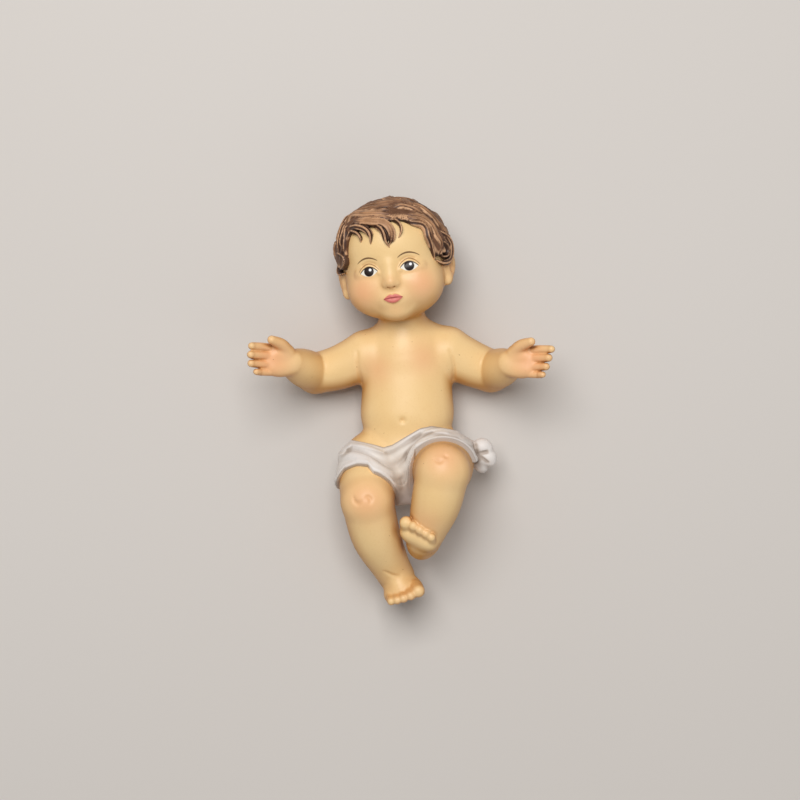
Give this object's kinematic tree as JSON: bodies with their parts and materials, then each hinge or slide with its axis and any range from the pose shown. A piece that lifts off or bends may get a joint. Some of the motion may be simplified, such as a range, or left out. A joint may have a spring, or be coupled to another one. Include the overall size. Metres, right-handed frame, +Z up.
{
  "type": "lying infant figurine",
  "caption": "Small painted resin figurine of a lying infant with open arms, bent legs, carved wavy hair and a knotted loincloth, cast in one piece",
  "frame": {"origin": "on the floor under the middle of the back, on the flat spot of the underside that the figure rests on", "axes": "+X to the figure's left, +Y towards its crown, +Z up, the way its face and chest look"},
  "size_m": [0.0736, 0.0999, 0.0324],
  "materials": {
    "resin": "cast polyresin, hand-painted in cream skin, brown hair and white cloth under a satin varnish"
  },
  "bodies": {
    "root": {"figurine": "resin"}
  },
  "joints": []
}
